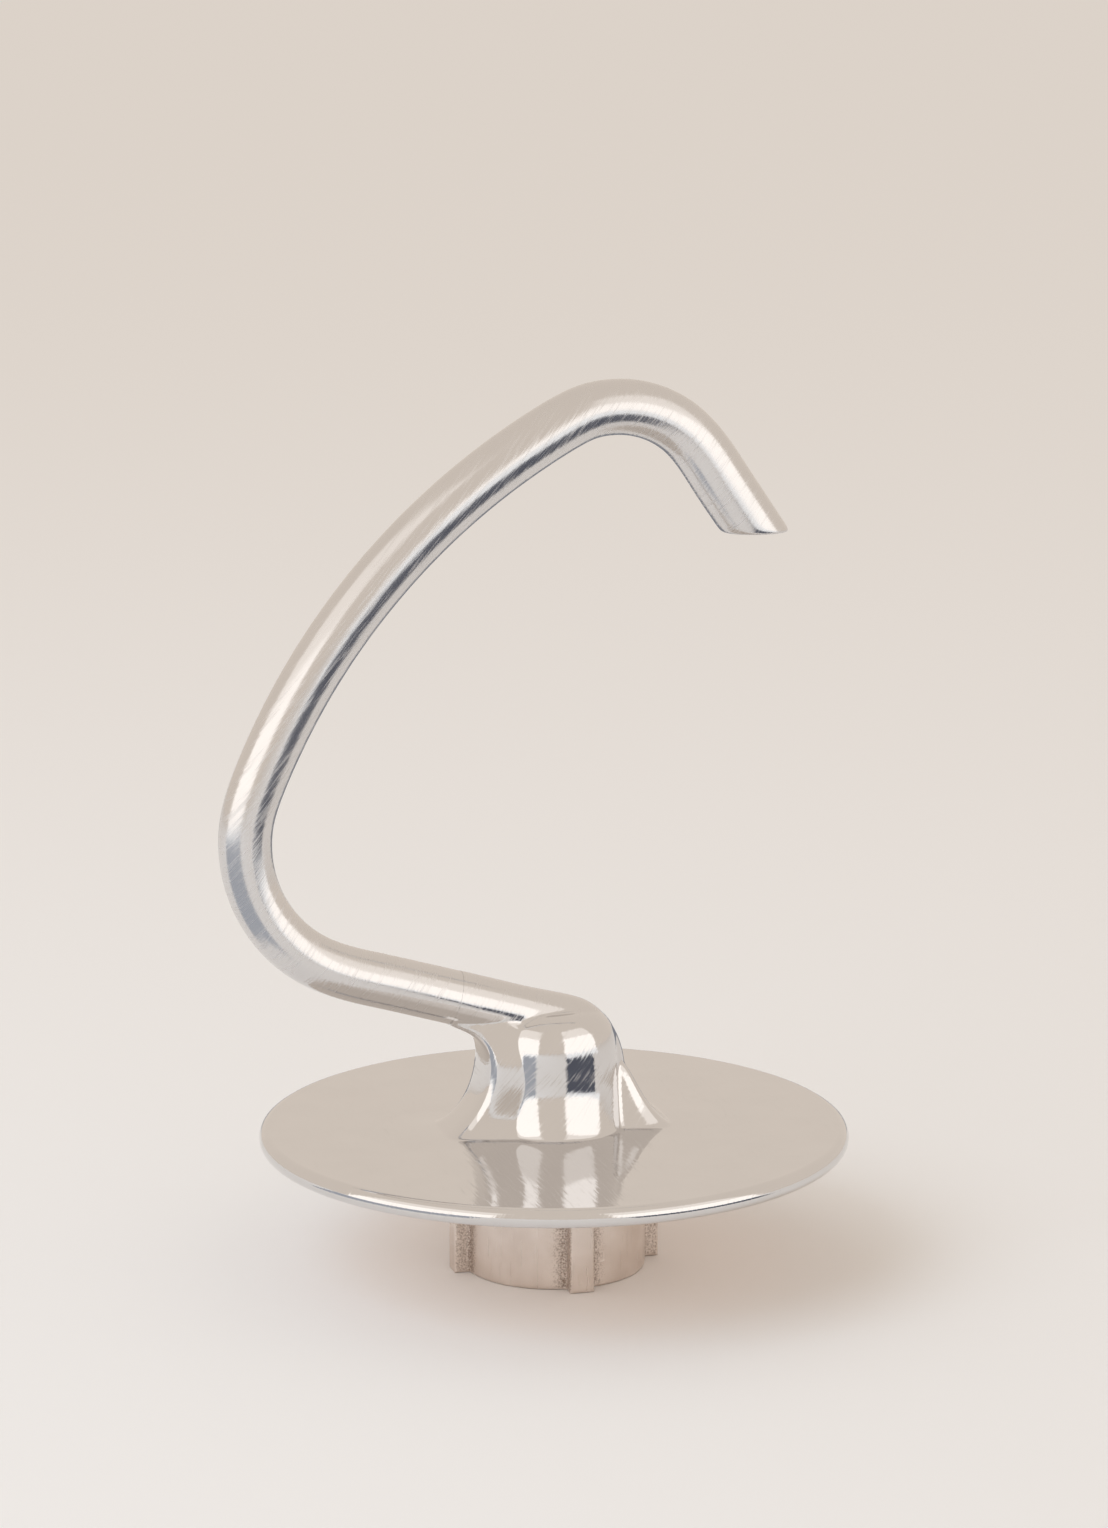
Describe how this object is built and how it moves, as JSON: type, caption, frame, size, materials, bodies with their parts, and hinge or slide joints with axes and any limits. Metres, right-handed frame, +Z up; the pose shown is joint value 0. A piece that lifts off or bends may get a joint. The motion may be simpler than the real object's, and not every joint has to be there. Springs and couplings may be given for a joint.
{
  "type": "dough hook",
  "caption": "C-shaped dough hook on a round guard disc, with a ribbed hub below that locks on a mixer's drive shaft by a slot and a turn.",
  "frame": {"origin": "on the drive axis, in the plane of the coupling hub's rim", "axes": "+Z up the drive axis, away from the mixer's shaft; the arm lies in the X-Z plane, with its big bend towards -X and its tip towards +X"},
  "size_m": [0.1178, 0.11, 0.1658],
  "materials": {
    "polished_steel": "stainless steel, hand polished to a mirror, with fine hairlines",
    "cast_steel": "stainless casting, belt finished on the high faces and left grainy beside the ribs",
    "machined_steel": "stainless steel, turned"
  },
  "bodies": {
    "root": {"guard_disc": "polished_steel", "coupling_hub": "cast_steel", "drive_bush": "machined_steel", "arm_boss": "polished_steel", "hook_arm": "polished_steel"}
  },
  "joints": []
}
